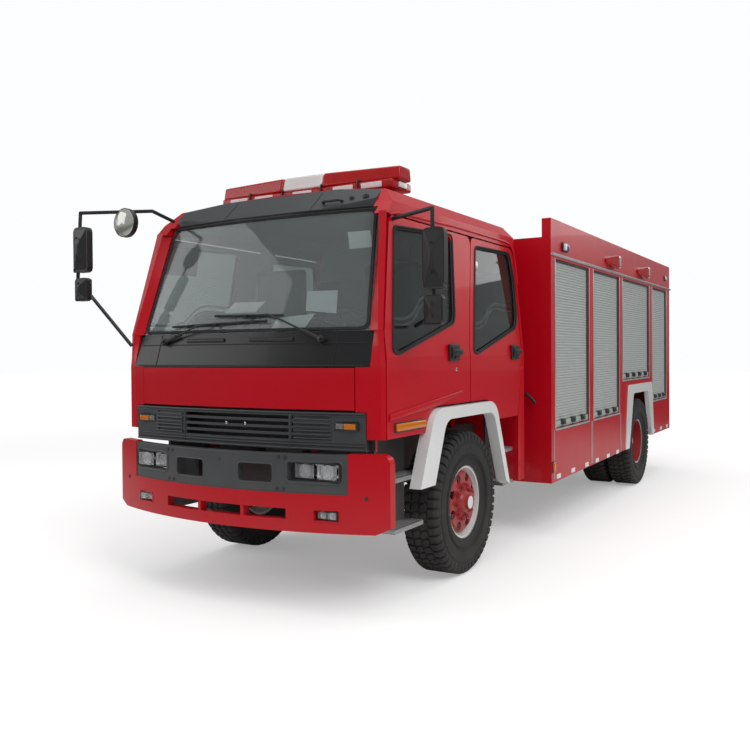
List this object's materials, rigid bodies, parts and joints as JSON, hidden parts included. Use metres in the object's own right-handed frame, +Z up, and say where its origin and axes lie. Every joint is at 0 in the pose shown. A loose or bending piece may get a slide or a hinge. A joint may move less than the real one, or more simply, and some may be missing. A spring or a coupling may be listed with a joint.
{
  "type": "fire engine",
  "caption": "Red crew-cab fire engine with equipment body, silver roller shutters, roof light bar, roof water monitor, opening doors, steered front wheels and twin rear wheels.",
  "frame": {"origin": "on the ground, midway along the vehicle and on its centre plane", "axes": "+Z up, the cab faces -Y, +X is the vehicle's left"},
  "size_m": [2.88, 7.9358, 3.3219],
  "materials": {
    "paint_red": "gloss",
    "frame_black": "satin",
    "axle_grey": "rough",
    "spring_steel": "satin",
    "engine_grey": "rough",
    "glass": "clear",
    "dark_trim": "satin",
    "lamp_clear": "clear",
    "lamp_red": "gloss",
    "seat_cloth": "woven",
    "dash_grey": "matte",
    "arch_white": "gloss",
    "tread_plate": "brushed",
    "tyre": "matte",
    "rim_red": "gloss",
    "shutter": "satin",
    "monitor_red": "gloss",
    "mirror_black": "gloss"
  },
  "bodies": {
    "chassis": {"chassis_frame": "frame_black", "front_axle_beam": "axle_grey", "rear_axle": "axle_grey", "leaf_springs": "spring_steel", "engine_block": "engine_grey", "cab_shell": "paint_red", "windshield": "glass", "windshield_surround": "dark_trim", "grille": "dark_trim", "bumper_beam": "dark_trim", "bumper_cover": "paint_red", "lamps": "lamp_clear", "seats": "seat_cloth", "dashboard": "dash_grey", "right_mirror": "mirror_black", "light_bar": "lamp_red", "wheel_arches": "arch_white", "steps": "tread_plate", "body_hull": "paint_red", "body_sides": "paint_red", "roller_shutters": "shutter", "monitor_base": "monitor_red"},
    "front_door_left": {"front_door_left": "paint_red", "front_door_glass_left": "glass", "left_mirror": "mirror_black"},
    "front_door_right": {"front_door_right": "paint_red", "front_door_glass_right": "glass"},
    "rear_door_left": {"rear_door_left": "paint_red", "rear_door_glass_left": "glass"},
    "rear_door_right": {"rear_door_right": "paint_red", "rear_door_glass_right": "glass"},
    "front_lid": {"front_lid": "paint_red"},
    "knuckle_left": {"knuckle_left": "axle_grey"},
    "knuckle_right": {"knuckle_right": "axle_grey"},
    "front_wheel_left": {"front_tyre_left": "tyre", "front_rim_left": "rim_red"},
    "front_wheel_right": {"front_tyre_right": "tyre", "front_rim_right": "rim_red"},
    "rear_wheels_left": {"rear_tyres_left": "tyre", "rear_rims_left": "rim_red"},
    "rear_wheels_right": {"rear_tyres_right": "tyre", "rear_rims_right": "rim_red"},
    "steering_wheel": {"steering_wheel": "dark_trim"},
    "monitor_turret": {"monitor_turret": "monitor_red"},
    "monitor_barrel": {"monitor_barrel": "monitor_red"}
  },
  "joints": [
    {"name": "steer_left", "type": "hinge", "parent": "chassis", "child": "knuckle_left", "pos_m": [0.76, -2.492, 0.5235], "axis": [0, 0, 1], "range_deg": [-32, 32]},
    {"name": "front_left_spin", "type": "hinge", "parent": "knuckle_left", "child": "front_wheel_left", "pos_m": [0.945, -2.492, 0.5235], "axis": [1, 0, 0], "continuous": true},
    {"name": "rear_left_spin", "type": "hinge", "parent": "chassis", "child": "rear_wheels_left", "pos_m": [0.93, 2.228, 0.5235], "axis": [1, 0, 0], "continuous": true},
    {"name": "front_door_left_hinge", "type": "hinge", "parent": "chassis", "child": "front_door_left", "pos_m": [1.097, -3.682, 1.3], "axis": [0, 0, -1], "range_deg": [0, 65]},
    {"name": "rear_door_left_hinge", "type": "hinge", "parent": "chassis", "child": "rear_door_left", "pos_m": [1.097, -2.453, 1.3], "axis": [0, 0, -1], "range_deg": [0, 65]},
    {"name": "steer_right", "type": "hinge", "parent": "chassis", "child": "knuckle_right", "pos_m": [-0.76, -2.492, 0.5235], "axis": [0, 0, 1], "range_deg": [-32, 32]},
    {"name": "front_right_spin", "type": "hinge", "parent": "knuckle_right", "child": "front_wheel_right", "pos_m": [-0.945, -2.492, 0.5235], "axis": [1, 0, 0], "continuous": true},
    {"name": "rear_right_spin", "type": "hinge", "parent": "chassis", "child": "rear_wheels_right", "pos_m": [-0.93, 2.228, 0.5235], "axis": [1, 0, 0], "continuous": true},
    {"name": "front_door_right_hinge", "type": "hinge", "parent": "chassis", "child": "front_door_right", "pos_m": [-1.097, -3.682, 1.3], "axis": [0, 0, 1], "range_deg": [0, 65]},
    {"name": "rear_door_right_hinge", "type": "hinge", "parent": "chassis", "child": "rear_door_right", "pos_m": [-1.097, -2.453, 1.3], "axis": [0, 0, 1], "range_deg": [0, 65]},
    {"name": "front_lid_hinge", "type": "hinge", "parent": "chassis", "child": "front_lid", "pos_m": [0, -3.827, 1.538], "axis": [-1, 0, 0], "range_deg": [0, 70]},
    {"name": "steering_wheel_turn", "type": "hinge", "parent": "chassis", "child": "steering_wheel", "pos_m": [0.52, -3.192, 1.79], "axis": [0, 0.5736, 0.8192], "range_deg": [-545, 545]},
    {"name": "monitor_yaw", "type": "hinge", "parent": "chassis", "child": "monitor_turret", "pos_m": [0, 3.128, 3.07], "axis": [0, 0, 1], "continuous": true},
    {"name": "monitor_elevation", "type": "hinge", "parent": "monitor_turret", "child": "monitor_barrel", "pos_m": [0, 3.128, 3.27], "axis": [-1, 0, 0], "range_deg": [-15, 70]}
  ],
  "couplings": [
    {"joint": "steer_right", "follows": "steer_left", "ratio": 1},
    {"joint": "steering_wheel_turn", "follows": "steer_left", "ratio": 17}
  ]
}
